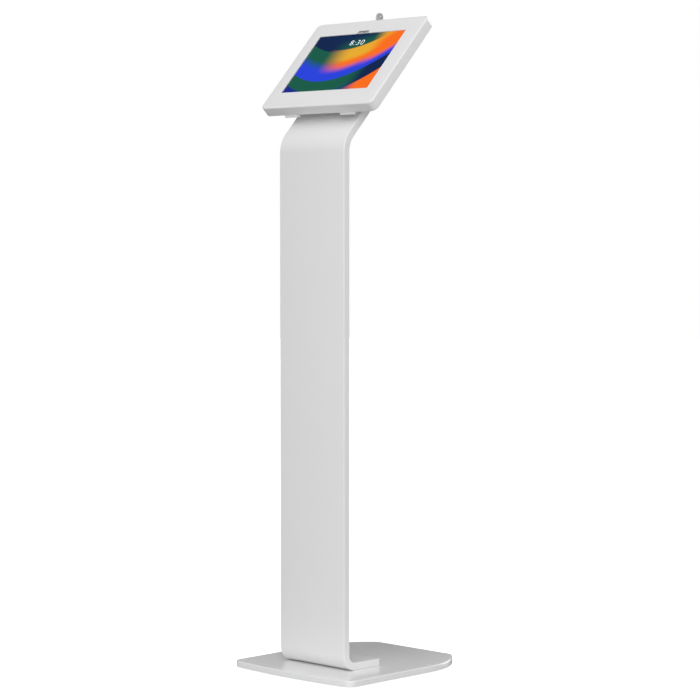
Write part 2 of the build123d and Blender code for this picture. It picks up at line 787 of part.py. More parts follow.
def button_shape(side, place, clearance=0.0):
    """A push button that passes through the shell's wall, or the slot that it runs in."""
    long = button_length + 2 * clearance
    thick = button_width + 2 * clearance
    inside = tablet_wall + button_inside
    span = (place - long / 2, place + long / 2)
    depths = (button_depth - thick / 2, button_depth + thick / 2)
    if side == "left":
        return bar((tablet_left - button_proud, tablet_left + inside), span, depths)
    return bar(span, (tablet_top - inside, tablet_top + button_proud), depths)


def button(name):
    side, place = button_places[name]
    return head_frame * button_shape(side, place)


def usb_bar(inset=0.0, extra=0.0):
    half = usb_width / 2 - inset
    return bar((tablet_right - usb_depth - extra, tablet_right + extra),
               (aperture_y - half, aperture_y + half),
               (button_depth - usb_height / 2 + inset, button_depth + usb_height / 2 - inset))


def tablet_shell():
    """Aluminium tray of the tablet, with a rebate for the glass and slots for its buttons."""
    shell = slab(tablet_width, tablet_height, tablet_front, tablet_back, aperture_x, aperture_y,
                 tablet_corner_radius)
    shell = fillet(shell.faces().sort_by(Axis.Z)[0].edges(), tablet_edge_radius)
    shell -= slab(tablet_width - 2 * glass_inset, tablet_height - 2 * glass_inset, tablet_front - past,
                  glass_back, aperture_x, aperture_y, tablet_corner_radius - glass_inset)
    shell -= slab(tablet_width - 2 * tablet_wall, tablet_height - 2 * tablet_wall, glass_back - past,
                  tablet_inside, aperture_x, aperture_y, tablet_corner_radius - tablet_wall)
    for side, place in button_places.values():
        shell -= button_shape(side, place, button_gap)
    return head_frame * (shell - usb_bar(0.0, past))


def usb_socket():
    return head_frame * (usb_bar(socket_fit) - usb_bar(usb_wall, past))


def tablet_glass():
    fit = glass_inset + sliding_fit
    return head_frame * slab(tablet_width - 2 * fit, tablet_height - 2 * fit, tablet_front, glass_back,
                             aperture_x, aperture_y, tablet_corner_radius - fit)


def tablet_display():
    return head_frame * slab(display_width, display_height, glass_back, display_back, aperture_x, aperture_y)


def tablet_camera():
    lens_y = aperture_y + display_height / 2 + camera_gap + camera_diameter / 2
    return head_frame * rod(camera_diameter, glass_back, glass_back + camera_depth, aperture_x, lens_y)


def tablet_battery():
    front = tablet_inside - battery_thickness
    return [head_frame * slab(battery_width, battery_height, front, tablet_inside,
                              aperture_x + side * battery_spacing / 2, aperture_y - battery_drop,
                              battery_corner_radius) for side in (-1, 1)]


def tablet_board():
    x = tablet_right - tablet_wall - board_gap - board_width / 2
    return head_frame * slab(board_width, board_height, tablet_inside - board_thickness, tablet_inside,
                             x, aperture_y)


# ------------------------------------------------------------------ write every node
single_pieces = {
    "base_plate": base_plate, "column": column, "column_back_cover": column_back_cover,
    "outlet_grommet": outlet_grommet, "neck_grommet": neck_grommet, "mount_spacer": mount_spacer,
    "back_tray": back_tray, "tray_grommet": tray_grommet, "front_frame": front_frame,
    "frame_gasket": frame_gasket, "lock_body": lock_body, "lock_nut": lock_nut,
    "lock_plug": lock_plug, "lock_cam": lock_cam, "key": key, "lock_strike": lock_strike,
    "strike_screw": strike_fixing, "tablet_shell": tablet_shell, "tablet_glass": tablet_glass,
    "tablet_display": tablet_display, "tablet_camera": tablet_camera, "tablet_board": tablet_board,
    "usb_socket": usb_socket,
}
groups = {
    "base_pads": base_pads, "foot_screws": foot_screws, "cover_standoffs": cover_standoffs,
    "cover_screws": cover_screws, "mount_bolts": mount_bolts, "mount_nuts": mount_nuts,
    "hinge_leaves": hinge_leaves, "hinge_pins": hinge_pins, "hinge_rivets": hinge_rivets,
    "corner_holders": corner_holders, "holder_pads": holder_pads, "holder_screws": holder_screws,
    "tablet_battery": tablet_battery,
}


def main():
    os.makedirs("parts", exist_ok=True)
    nodes = {name: make() for name, make in single_pieces.items()}
    nodes.update({name: Compound(children=make()) for name, make in groups.items()})
    nodes.update({name: button(name) for name in button_places})
    for name, shape in nodes.items():
        export_step(shape, os.path.join("parts", name + ".step"))


if __name__ == "__main__":
    main()
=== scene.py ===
"""Touchscreen kiosk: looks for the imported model, laid out as a Blender add-on.

Everything is in metres.  The head's pieces are drawn in the head's own frame, where x runs
across the face, y runs up it from its lower edge and z points out of it, and are then laid
in place by head_matrix().
"""
import json
import math

import bmesh
import bpy
from bpy.props import (FloatProperty, FloatVectorProperty, IntProperty, PointerProperty,
                       StringProperty)
from mathutils import Matrix, Vector


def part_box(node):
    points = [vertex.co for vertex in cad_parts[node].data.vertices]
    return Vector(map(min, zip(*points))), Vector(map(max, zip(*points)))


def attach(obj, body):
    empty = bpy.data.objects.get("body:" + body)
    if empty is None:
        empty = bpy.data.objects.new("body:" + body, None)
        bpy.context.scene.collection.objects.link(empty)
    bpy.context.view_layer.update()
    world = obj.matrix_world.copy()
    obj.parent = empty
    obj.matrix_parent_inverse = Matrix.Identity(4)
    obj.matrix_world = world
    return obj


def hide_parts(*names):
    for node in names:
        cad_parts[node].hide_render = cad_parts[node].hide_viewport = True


bl_info = {
    "name": "Touchscreen kiosk",
    "version": (1, 0, 0),
    "blender": (4, 5, 0),
    "location": "View3D > Sidebar > Kiosk",
    "description": "Builds a floor-standing touchscreen kiosk with a lockable tablet enclosure",
    "category": "Object",
}

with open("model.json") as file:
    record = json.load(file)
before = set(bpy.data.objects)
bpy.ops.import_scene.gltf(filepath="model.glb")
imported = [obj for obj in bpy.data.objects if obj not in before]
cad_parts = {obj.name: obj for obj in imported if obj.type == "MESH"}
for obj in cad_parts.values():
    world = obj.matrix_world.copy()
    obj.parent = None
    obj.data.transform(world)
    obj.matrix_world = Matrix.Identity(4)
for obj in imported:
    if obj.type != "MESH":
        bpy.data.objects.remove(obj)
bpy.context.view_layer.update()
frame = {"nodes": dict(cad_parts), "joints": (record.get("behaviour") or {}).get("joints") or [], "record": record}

QUARTER_TURN = math.pi / 2
SHARP_ANGLE = math.radians(30)      # faces that meet at more than this keep a hard edge
SOFTENED_ANGLE = math.radians(35)   # edges sharper than this are rounded
ROUND = 0.5                         # bevel profile of a circular arc
FINE_EDGE = 0.0004                  # rounding of cut sheet edges, in metres


# ------------------------------------------------------------------ settings
def length(name, text, default):
    """A length in metres."""
    return FloatProperty(name=name, description=text, default=default,
                         subtype="DISTANCE", unit="LENGTH")


def angle(name, text, degrees):
    """An angle, given in degrees and kept in radians."""
    return FloatProperty(name=name, description=text, default=math.radians(degrees),
                         subtype="ANGLE")


def share(name, text, default):
    """A number from 0 to 1."""
    return FloatProperty(name=name, description=text, default=default, min=0.0, max=1.0,
                         subtype="FACTOR")


def strength(name, text, default):
    """Brightness of a light or of something that glows."""
    return FloatProperty(name=name, description=text, default=default, min=0.0)


def colour(name, text, default):
    """A linear RGB colour."""
    return FloatVectorProperty(name=name, description=text, default=default, size=3,
                               min=0.0, max=1.0, subtype="COLOR")


def count(name, text, default, least=1):
    """A whole number."""
    return IntProperty(name=name, description=text, default=default, min=least)


class BaseSettings(bpy.types.PropertyGroup):
    """Base plate"""
    bow: length("Bow", "How far the front edge swells past its corners", 0.011)
    front_radius: length("Front radius", "Radius of the two front corners", 0.018)
    tail_length: length("Tail length", "Length over which the sides curve in", 0.122)
    tail_curve: length("Tail curve", "Radius of the sides where they curve in", 0.155)
    tail_radius: length("Tail radius", "Radius of the two back corners", 0.006)
    edge_radius: length("Edge radius", "Rounding of the upper edge", 0.002)
    anchor_hole: length("Anchor hole", "Diameter of the four anchor holes", 0.0084)
    anchor_spacing_x: length("Anchor spacing X", "Distance between anchor holes, across", 0.286)
    anchor_spacing_y: length("Anchor spacing Y", "Distance between anchor holes, in depth", 0.210)
    anchor_inset: length("Anchor inset", "From the front edge to the first anchor holes", 0.028)


class ColumnSettings(bpy.types.PropertyGroup):
    """Column and its back cover"""
    depth: length("Depth", "Depth of the flanges", 0.014)
    sheet: length("Sheet", "Thickness of the bent sheet", 0.003)
    edge_radius: length("Edge radius", "Outside radius between front and flanges", 0.0016)
    foot_length: length("Foot length", "From the front face to the foot's rear end", 0.095)
    foot_radius: length("Foot radius", "Outside radius of the foot bend", 0.030)
    neck_radius: length("Neck radius", "Outside radius of the neck bend", 0.054)
    rise: length("Rise", "From the base to the start of the neck bend", 0.964)
    neck_length: length("Neck length", "Straight length of the neck", 0.216)
    cover_sheet: length("Cover sheet", "Thickness of the back cover", 0.002)
    cover_gap: length("Cover gap", "Gap round the back cover", 0.0005)
    cover_edge: length("Cover edge", "Rounding of the back cover's edges", 0.0003)
    outlet: length("Outlet", "Diameter of the cable outlet", 0.030)
    bend_steps: count("Bend steps", "Steps round each bend", 20, 4)


class HeadSettings(bpy.types.PropertyGroup):
    """Front frame of the head"""
    width: length("Width", "Width of the front frame", 0.292)
    height: length("Height", "Height of the front frame, along its face", 0.231)
    depth: length("Depth", "Depth of the frame's walls", 0.0206)
    sheet: length("Sheet", "Thickness of the frame's sheet", 0.002)
    corner_radius: length("Corner radius", "Radius of the four corners", 0.012)
    edge_radius: length("Edge radius", "Rounding of the front edge", 0.0025)
    aperture_width: length("Aperture width", "Width of the screen's aperture", 0.227)
    aperture_height: length("Aperture height", "Height of the screen's aperture", 0.1537)
    aperture_x: length("Aperture offset", "Aperture's middle, off the head's middle", -0.0042)
    aperture_bottom: length("Aperture bottom", "Lower edge of the aperture", 0.0417)
    aperture_radius: length("Aperture radius", "Radius of the aperture's corners", 0.0014)
    notch_width: length("Notch width", "Width of the camera notch", 0.033)
    notch_height: length("Notch height", "Height of the camera notch", 0.0075)
    notch_slope: length("Notch slope", "Width of the notch's slanted ends", 0.003)
    hinge_spacing: length("Hinge spacing", "Distance between the two hinges", 0.146)
    hinge_knuckle: length("Hinge knuckle", "Width of the frame's knuckle", 0.018)
    hinge_radius: length("Hinge radius", "Outside radius of a knuckle", 0.0022)
    hinge_drop: length("Hinge drop", "Hinge axis below the frame", 0.0007)
    hinge_setback: length("Hinge setback", "Hinge axis behind the frame's walls", 0.0024)
    tongue_root: length("Tongue root", "How far a hinge tongue reaches into the wall", 0.0006)
    lock_depth: length("Lock depth", "Lock's axis behind the face", 0.0105)
    lock_hole: length("Lock hole", "Radius of the lock's hole", 0.00633)


class ScreenSettings(bpy.types.PropertyGroup):
    """Tablet's glass, its picture and its clock"""
    width: length("Glass width", "Width of the tablet's glass", 0.2464)
    height: length("Glass height", "Height of the tablet's glass", 0.1773)
    thickness: length("Glass thickness", "Thickness of the glass", 0.0009)
    front: length("Glass depth", "Front of the glass behind the frame's face", 0.0030)
    corner_radius: length("Corner radius", "Radius of the glass's corners", 0.0089)
    edge: length("Edge", "Rounding of the glass's edges", 0.0003)
    lit_width: length("Lit width", "Width of the lit area", 0.2275)
    lit_height: length("Lit height", "Height of the lit area", 0.1580)
    clock_height: length("Clock height", "Height of the clock's digits", 0.0140)
    clock_thin: length("Clock thinning", "How much the strokes are thinned", 0.00035)
    clock_relief: length("Clock relief", "Thickness of the digits", 0.00002)
    clock_gap: length("Clock gap", "Gap between the digits and the glass", 0.00004)
    clock_rise: share("Clock rise", "Clock above the middle, as a share of the lit height", 0.34)
    clock_spacing: share("Clock spacing", "Added space between digits, as a share", 0.15)
    clock_text: StringProperty(name="Clock", description="Time that the screen shows",
                               default="8:30")
    clock_glow: strength("Clock glow", "Strength of the digits", 0.75)
    clock_white: colour("Clock white", "Colour of the digits", (0.85, 0.92, 1.0))
    lens: length("Camera window", "Diameter of the camera's window", 0.0024)
    lens_thickness: length("Window thickness", "Thickness of the camera's window", 0.0001)
    lens_proud: length("Window front", "Middle of the window before the glass", 0.00006)
    lens_rise: length("Window rise", "Middle of the window above the lit area", 0.0035)
    brightness: strength("Brightness", "Strength of the lit area", 1.0)
    navy: colour("Navy", "Darkest part of the picture", (0.0, 0.014, 0.070))
    teal: colour("Teal", "Green-blue part of the picture", (0.005, 0.100, 0.060))
    blue: colour("Blue", "Pure blue part of the picture", (0.018, 0.050, 0.70))
    orange: colour("Orange", "Warm part of the picture", (0.95, 0.150, 0.006))
    yellow: colour("Yellow", "Lightest part of the picture", (0.80, 0.400, 0.025))
    # Grey printed border of the glass; the grey also stands in as painted shade, where the camera notch shows the
    # border in shadow.
    bezel_grey_with_painted_shade: colour("Bezel", "Painted border of the glass", (0.42, 0.42, 0.43))
    unlit: colour("Unlit", "Display under its picture", (0.004, 0.004, 0.005))


class KeySettings(bpy.types.PropertyGroup):
    """Key, and the lock's flange under it"""
    bow: length("Bow", "Diameter of the key's bow", 0.0185)
    bow_height: length("Bow height", "Bow's middle above the head's upper wall", 0.0175)
    bow_thickness: length("Bow thickness", "Thickness of the bow", 0.0026)
    blade_width: length("Blade width", "Width of the blade", 0.0062)
    blade_thickness: length("Blade thickness", "Thickness of the blade", 0.0020)
    blade_length: length("Blade length", "Length of the blade inside the lock", 0.0150)
    lock_flange: length("Lock flange", "Height of the lock's flange", 0.0015)
    shoulder_width: length("Shoulder width", "Width of the key's shoulder", 0.0086)
    shoulder_gap: length("Shoulder gap", "Gap between the shoulder and the lock", 0.0006)
    rim: length("Rim", "Width of the bow's raised rim", 0.0014)
    ribs: count("Ribs", "Raised ribs on each side of the bow", 4)
    rib_width: length("Rib width", "Width of a rib", 0.0017)
    rib_height: share("Rib height", "Thickness across the ribs, as a share of the bow's", 0.92)
    groove_floor: share("Groove floor", "Thickness at the grooves, as a share of the bow's", 0.45)
    # Darker metal on the groove floor between the ribs: painted shade in the grooves, the key being one metal.
    rib_gap_painted_shade: colour("Groove", "Colour of the metal between the ribs", (0.62, 0.62, 0.61))
    ring_hole: length("Ring hole", "Diameter of the key-ring hole", 0.0034)
    edge: length("Edge", "Rounding of the key's edges", 0.0002)


class CoatSettings(bpy.types.PropertyGroup):
    """Powder coats"""
    white: colour("Coat", "Powder coat of the sheet metal", (0.83, 0.83, 0.835))
    # The same white coat as the sheet, made a touch lighter as painted light for the floor's bounce on the base
    # plate.
    base_white_with_painted_light: colour("Base coat", "Powder coat of the base plate", (0.84, 0.84, 0.845))
    roughness: share("Roughness", "Roughness of the powder coat", 0.25)
    base_roughness: share("Base roughness", "Roughness of the base's coat", 0.20)
    grain: length("Grain", "Size of the coat's fine texture", 0.0011)


class StageSettings(bpy.types.PropertyGroup):
    """Camera, lights, floor and surround"""
    azimuth: angle("Azimuth", "Camera's turn to the right of the front", 44.355)
    drop: angle("Drop", "Camera's tilt below the horizon", 2.846)
    place: FloatVectorProperty(name="Camera place", description="Camera's place", size=3,
                               subtype="TRANSLATION", unit="LENGTH",
                               default=(3.11116, -3.18798, 0.82667))
    sensor: FloatProperty(name="Sensor", description="Sensor's width in millimetres", default=36.0)
    lens: FloatProperty(name="Lens", description="Focal length in millimetres", default=120.66)
    far: length("Far", "Farthest that the camera sees", 50.0)
    floor: colour("Floor", "Colour of the floor", (0.90, 0.90, 0.90))
    floor_radius: length("Floor radius", "Radius of the round floor", 14.0)
    floor_glow: strength("Floor glow", "Added brightness, seen only by the camera", 0.62)
    front_light: strength("Front light", "Strength of the low light beside the camera", 0.92)
    high_light: strength("High light", "Strength of the high light in front", 1.22)
    back_light: strength("Back light", "Strength of the light behind", 1.40)
    surround: strength("Surround", "Mean brightness of the studio", 0.325)
    lean: strength("Lean", "How much brighter the studio is on its bright side", 0.20)
    bright_side: FloatVectorProperty(name="Bright side", description="Towards the bright side",
                                     size=3, subtype="DIRECTION", default=(0.60, -0.75, 0.25))


SETTINGS = {
    "kiosk_base": BaseSettings, "kiosk_column": ColumnSettings, "kiosk_head": HeadSettings,
    "kiosk_screen": ScreenSettings, "kiosk_key": KeySettings, "kiosk_coat": CoatSettings,
    "kiosk_stage": StageSettings,
}


# ------------------------------------------------------------------ places taken from the frame
def joint(name):
    """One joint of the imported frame."""
    return next(j for j in frame["joints"] if j["name"] == name)


def head_up():
    """Direction up the head's face, which the lock's axis points down."""
    return -Vector(joint("lock_turn")["axis"])


def head_matrix():
    """Turns the head's own frame into the object's frame."""
    head = bpy.context.scene.kiosk_head
    across = Vector((1, 0, 0))
    up = head_up()
    out = across.cross(up)
    pin = Vector(joint("cover_hinge")["pos_m"])
    origin = pin + up * head.hinge_drop + out * (head.depth + head.hinge_setback)
    turn = Matrix((across, up, out)).transposed()
    return Matrix.Translation(origin) @ turn.to_4x4()


# ------------------------------------------------------------------ mesh helpers
def add_object(name, data):
    """A new object in the scene, at the origin."""
    made = bpy.data.objects.new(name, data)
    bpy.context.scene.collection.objects.link(made)
    return made


def shade(mesh):
    """Smooth shading, but for the sharp edges."""
    mesh.shade_smooth()
    mesh.set_sharp_from_angle(angle=SHARP_ANGLE)


def finish_piece(bm, name, material, body, nodes=(), matrix=None):
    """Turns a bmesh into a piece of the kiosk: in place, shaded, on its body and in its slot."""
    if matrix is not None:
        bmesh.ops.transform(bm, matrix=matrix, verts=bm.verts)
    mesh = bpy.data.meshes.new(name)
    bm.to_mesh(mesh)
    bm.free()
    piece = add_object(name, mesh)
    mesh.materials.append(material)
    shade(mesh)
    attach(piece, body)
    if nodes:
        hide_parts(*nodes)
    return piece


def soften(piece, width, segments=3):
    """Rounds the sharp edges of a piece a little and evens out its shading."""
    bevel = piece.modifiers.new("edges", "BEVEL")
    bevel.width = width
    bevel.segments = segments
    bevel.limit_method = "ANGLE"
    bevel.angle_limit = SOFTENED_ANGLE
    bevel.harden_normals = True
    bevel.use_clamp_overlap = True


def of_type(geometry, kind):
    """The vertices, edges or faces among what an operator made."""
    return [item for item in geometry if isinstance(item, kind)]


def rounded_plate(bm, width, height, radius, steps):
    """A flat face with four round corners, centred on the origin."""
    bmesh.ops.create_grid(bm, x_segments=1, y_segments=1, size=0.5)
    bmesh.ops.scale(bm, vec=(width, height, 1.0), verts=bm.verts)
    bmesh.ops.bevel(bm, geom=list(bm.verts), offset=radius, affect="VERTICES", segments=steps,
                    profile=ROUND, material=-1)
    return bm.faces[:]


def round_edges(bm, edges, radius, steps=6):
    """Rounds edges of a mesh to a radius."""
    bmesh.ops.bevel(bm, geom=list(edges), offset=radius, affect="EDGES", segments=steps,
                    profile=ROUND, material=-1)


def extrude_faces(bm, faces, vector):
    """Pushes faces along a vector and returns the moved faces."""
    made = bmesh.ops.extrude_face_region(bm, geom=faces)["geom"]
    bmesh.ops.translate(bm, vec=vector, verts=of_type(made, bmesh.types.BMVert))
    return of_type(made, bmesh.types.BMFace)


def outward(bm):
    """Turns every face of closed shells outwards."""
    bmesh.ops.recalc_face_normals(bm, faces=bm.faces)


def along(place, axis):
    """Places a cylinder's middle and lays its length along an axis."""
    turn_about = {"X": "Y", "Y": "X"}[axis]
    return Matrix.Translation(place) @ Matrix.Rotation(QUARTER_TURN, 4, turn_about)


def cylinder(bm, radius, height, matrix, segments=32):
    """A closed cylinder, centred on the matrix's origin, along its z."""
    bmesh.ops.create_cone(bm, cap_ends=True, segments=segments, radius1=radius, radius2=radius,
                          depth=height, matrix=matrix)


def cut(piece, cutter_bm):
    """Takes the shape in cutter_bm out of a piece's mesh, for good."""
    cutter_mesh = bpy.data.meshes.new("cutter")
    outward(cutter_bm)
    cutter_bm.to_mesh(cutter_mesh)
    cutter_bm.free()
    cutter = add_object("cutter", cutter_mesh)
    boolean = piece.modifiers.new("cut", "BOOLEAN")
    boolean.operation = "DIFFERENCE"
    boolean.solver = "EXACT"
    boolean.use_self = True
    boolean.object = cutter
    bpy.context.view_layer.update()
    evaluated = piece.evaluated_get(bpy.context.evaluated_depsgraph_get())
    result = bpy.data.meshes.new_from_object(evaluated)
    piece.modifiers.remove(boolean)
    old = piece.data
    piece.data = result
    bpy.data.meshes.remove(old)
    bpy.data.objects.remove(cutter)
    bpy.data.meshes.remove(cutter_mesh)
    piece.data.set_sharp_from_angle(angle=SHARP_ANGLE)


# ------------------------------------------------------------------ materials
def new_material(name):
    """A material with one Principled shader; returns it with its nodes, links and shader."""
    material = bpy.data.materials.new(name)
    material.use_nodes = True
    nodes = material.node_tree.nodes
    nodes.clear()
    output = nodes.new("ShaderNodeOutputMaterial")
    shader = nodes.new("ShaderNodeBsdfPrincipled")
    material.node_tree.links.new(shader.outputs["BSDF"], output.inputs["Surface"])
    return material, nodes, material.node_tree.links, shader


def object_noise(nodes, links, scale, detail=2.0):
    """Noise that is fixed to the piece, from 0 to 1."""
    node = nodes.new("ShaderNodeTexNoise")
    node.inputs["Scale"].default_value = scale
    node.inputs["Detail"].default_value = detail
    links.new(nodes.new("ShaderNodeTexCoord").outputs["Object"], node.inputs["Vector"])
    return node.outputs["Fac"]


def spread(nodes, links, value, low, high):
    """Maps a value that runs from 0 to 1 onto another range."""
    node = nodes.new("ShaderNodeMapRange")
    node.inputs["To Min"].default_value = low
    node.inputs["To Max"].default_value = high
    links.new(value, node.inputs["Value"])
    return node.outputs["Result"]


def tint(nodes, links, value, low, high):
    """Mixes two colours by a value; each is a plain colour or a socket that gives one."""
    node = nodes.new("ShaderNodeMix")
    node.data_type = "RGBA"
    links.new(value, node.inputs["Factor"])
    for name, side in (("A", low), ("B", high)):
        if isinstance(side, bpy.types.NodeSocket):
            links.new(side, node.inputs[name])
        else:
            node.inputs[name].default_value = (*side, 1.0)
    return node.outputs["Result"]


def scaled(shade_of, factor):
    """A colour made darker or lighter."""
    return [min(1.0, c * factor) for c in shade_of]


def bump(nodes, links, shader, height, amount, distance):
    """Raises a shader's surface by a height from 0 to 1."""
    node = nodes.new("ShaderNodeBump")
    node.inputs["Strength"].default_value = amount
    node.inputs["Distance"].default_value = distance
    links.new(height, node.inputs["Height"])
    links.new(node.outputs["Normal"], shader.inputs["Normal"])


def finish(name, colours, gloss, height, texture, relief, metallic=0.0, clouds=None):
    """A material whose colour, roughness and relief follow one fine noise.

    colours and gloss are the two ends of the colour and of the roughness, height is the noise's
    scale and detail, and clouds those of a slower noise that the colour then follows.
    """
    material, nodes, links, shader = new_material(name)
    fine = object_noise(nodes, links, *height)
    slow = object_noise(nodes, links, *clouds) if clouds else fine
    shader.inputs["Metallic"].default_value = metallic
    links.new(tint(nodes, links, slow, *colours), shader.inputs["Base Color"])
    links.new(spread(nodes, links, fine, *gloss), shader.inputs["Roughness"])
    bump(nodes, links, shader, fine, texture, relief)
    return material


def powder_coat(name, paint, roughness, texture=0.10):
    """Baked coating: fine orange peel, a faint cloudiness and slightly uneven gloss."""
    grain = bpy.context.scene.kiosk_coat.grain
    return finish(name, (scaled(paint, 0.985), scaled(paint, 1.015)),
                  (roughness - 0.04, roughness + 0.04), (1.0 / grain, 2.0), texture, grain * 0.1,
                  clouds=(6.0, 3.0))


def metal(name, bright, roughness, scratch=400.0):
    """Plated or bare metal with fine wear in its gloss."""
    return finish(name, (scaled(bright, 0.82), bright), (roughness * 0.7, roughness * 1.3),
                  (scratch, 4.0), texture=0.15, relief=0.0001, metallic=1.0)


def moulded(name, middle, roughness, grain=0.0008, texture=0.25):
    """Rubber, foam or plastic with a fine moulded grain."""
    return finish(name, (scaled(middle, 0.85), scaled(middle, 1.15)),
                  (roughness - 0.05, roughness + 0.05), (1.0 / grain, 3.0), texture, grain * 0.2)


_materials = {}

# a slot's finish: how it is made, then its colour, its roughness and what else that needs
FINISHES = {
    "pad_rubber": (moulded, (0.035, 0.035, 0.037), 0.75),
    "black_foam": (moulded, (0.03, 0.03, 0.032), 0.95, 0.0012, 0.6),
    "holder_plastic": (moulded, (0.045, 0.045, 0.048), 0.55),
    "steel_screw": (metal, (0.62, 0.62, 0.60), 0.30),
    "lock_metal": (metal, (0.66, 0.65, 0.63), 0.28),
    "key_metal": (metal, (0.96, 0.955, 0.94), 0.50, 900.0),
    "tablet_metal": (metal, (0.60, 0.61, 0.63), 0.38, 2500.0),
    "socket_metal": (metal, (0.50, 0.50, 0.51), 0.35),
    "battery_wrap": (moulded, (0.10, 0.10, 0.11), 0.45),
    "board": (moulded, (0.02, 0.12, 0.06), 0.5, 0.002, 0.4),
    "camera_lens": (moulded, (0.006, 0.006, 0.010), 0.12, 0.001, 0.0),
    "display": (moulded, (0.02, 0.02, 0.025), 0.3),
    "tablet_glass": (moulded, (0.02, 0.02, 0.022), 0.1, 0.001, 0.0),
}


def slot_material(slot):
    """The finish of one of the record's material slots, made once."""
    if slot not in _materials:
        coat = bpy.context.scene.kiosk_coat
        coats = {
            "powder_coat": (powder_coat, coat.white, coat.roughness),
            # the base's coat is a touch lighter: painted light from the floor's bounce
            "base_coat": (powder_coat, coat.base_white_with_painted_light, coat.base_roughness, 0.05),
            "cast_spacer": (powder_coat, coat.white, coat.roughness + 0.1, 0.3),
        }
        make, *values = coats.get(slot) or FINISHES[slot]
        _materials[slot] = make(slot, *values)
    return _materials[slot]


# ------------------------------------------------------------------ base plate
def arc(bm, start, centre, turn, steps=28):
    """Carries a new vertex at start level round a centre; returns the arc's two ends."""
    first = bm.verts.new(start)
    made = bmesh.ops.spin(bm, geom=[first], cent=(*centre, start[2]), axis=(0, 0, 1), angle=turn,
                          steps=steps, use_merge=False, use_duplicate=False)
    return first, of_type(made["geom_last"], bmesh.types.BMVert)[0]


def base_plan(bm):
    """Plan of the base plate as one face: bowed front, sides that curve in, straight back.

    Returns its four corners, each with the radius that it gets.
    """
    base = bpy.context.scene.kiosk_base
    low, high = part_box("base_plate")
    side = high.x
    bow_radius = (side ** 2 + base.bow ** 2) / (2 * base.bow)
    shoulder = high.y - base.tail_length
    curve_x = side - base.tail_curve
    turn = math.asin(base.tail_length / base.tail_curve)
    tail_x = curve_x + base.tail_curve * math.cos(turn)
    front_left, front_right = arc(bm, (-side, low.y + base.bow, low.z), (0, low.y + bow_radius),
                                  2 * math.asin(side / bow_radius), steps=16)
    right_start, right_end = arc(bm, (side, shoulder, low.z), (curve_x, shoulder), turn)
    left_start, left_end = arc(bm, (-tail_x, high.y, low.z), (-curve_x, shoulder), turn)
    for pair in ((front_right, right_start), (right_end, left_start), (left_end, front_left)):
        bm.edges.new(pair)
    bmesh.ops.contextual_create(bm, geom=bm.edges[:])
    return [(front_left, base.front_radius), (front_right, base.front_radius),
            (right_end, base.tail_radius), (left_start, base.tail_radius)]


def round_corner(bm, vert, radius, steps):
    """Rounds one corner of a flat face to a radius."""
    first, second = [edge.other_vert(vert).co - vert.co for edge in vert.link_edges]
    turn = math.pi - first.angle(second)
    bmesh.ops.bevel(bm, geom=[vert], offset=radius * math.tan(turn / 2), offset_type="OFFSET",
                    affect="VERTICES", segments=steps, profile=ROUND, material=-1,
                    clamp_overlap=False)


def round_corners(bm, corners, steps):
    """Rounds several corners of a flat face, each to its own radius."""
    places = [(vert.co.copy(), radius) for vert, radius in corners]
    for place, radius in places:
        round_corner(bm, min(bm.verts, key=lambda v: (v.co - place).length), radius, steps)


class KIOSK_OT_base_plate(bpy.types.Operator):
    """Flat steel base plate with a rounded upper edge and four anchor holes"""
    bl_idname = "kiosk.base_plate"
    bl_label = "Base plate"

    def execute(self, context):
        base = context.scene.kiosk_base
        low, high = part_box("base_plate")
        thickness = high.z - low.z
        bm = bmesh.new()
        round_corners(bm, base_plan(bm), steps=12)
        top = extrude_faces(bm, bm.faces[:], Vector((0, 0, thickness)))
        outward(bm)
        round_edges(bm, {edge for face in top for edge in face.edges}, base.edge_radius)
        piece = finish_piece(bm, "base_slab", slot_material("base_coat"), "stand",
                             ["base_plate"])
        holes = bmesh.new()
        row = low.y + base.anchor_inset
        for x in (-base.anchor_spacing_x / 2, base.anchor_spacing_x / 2):
            for y in (row, row + base.anchor_spacing_y):
                cylinder(holes, base.anchor_hole / 2, 3 * thickness,
                         Matrix.Translation((x, y, high.z)), segments=40)
        cut(piece, holes)
        soften(piece, FINE_EDGE)
        return {"FINISHED"}


# ------------------------------------------------------------------ column
def sweep_column(bm, points, inset, closing):
    """Carries an open section from the foot's end, round both bends, to the neck's end.

    points are the section's (x, y, z) places at the foot's end, inset is how far the ends stand
    back, and closing says whether a wall closes each end.
    """
    column = bpy.context.scene.kiosk_column
    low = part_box("column")[0]
    start = [bm.verts.new(point) for point in points]
    section = [bm.edges.new(pair) for pair in zip(start, start[1:])]
    if closing:
        bm.faces.new(start)

    def pushed(edges, vector):
        """Draws the section out along a vector."""
        made = bmesh.ops.extrude_edge_only(bm, edges=edges)["geom"]
        bmesh.ops.translate(bm, vec=vector, verts=of_type(made, bmesh.types.BMVert))
        return of_type(made, bmesh.types.BMEdge)

    def bent(edges, radius, height, turn):
        """Carries the section round a bend whose axis lies level, at a height."""
        made = bmesh.ops.spin(bm, geom=edges, cent=(0, low.y + radius, height), axis=(1, 0, 0),
                              angle=-turn, steps=column.bend_steps, use_merge=False,
                              use_duplicate=False)
        return of_type(made["geom_last"], bmesh.types.BMEdge)

    up = head_up()
    section = pushed(section, Vector((0, column.foot_radius + inset - column.foot_length, 0)))
    section = bent(section, column.foot_radius, low.z + column.foot_radius, QUARTER_TURN)
    section = pushed(section, Vector((0, 0, column.rise - column.foot_radius)))
    section = bent(section, column.neck_radius, low.z + column.rise, math.acos(up.z))
    section = pushed(section, up * (column.neck_length - inset))
    if closing and not bmesh.ops.contextual_create(bm, geom=section)["faces"]:
        raise RuntimeError("the neck's end could not be closed")


def section_points(half, depth, radius, steps=6):
    """Open U with round corners, from one flange's rim to the other, as (x, height) pairs."""
    points = [(-half, depth)]
    for k in range(steps + 1):
        turn = math.pi + k * QUARTER_TURN / steps
        points.append((radius - half + radius * math.cos(turn), radius + radius * math.sin(turn)))
    return points + [(-x, z) for x, z in reversed(points)]


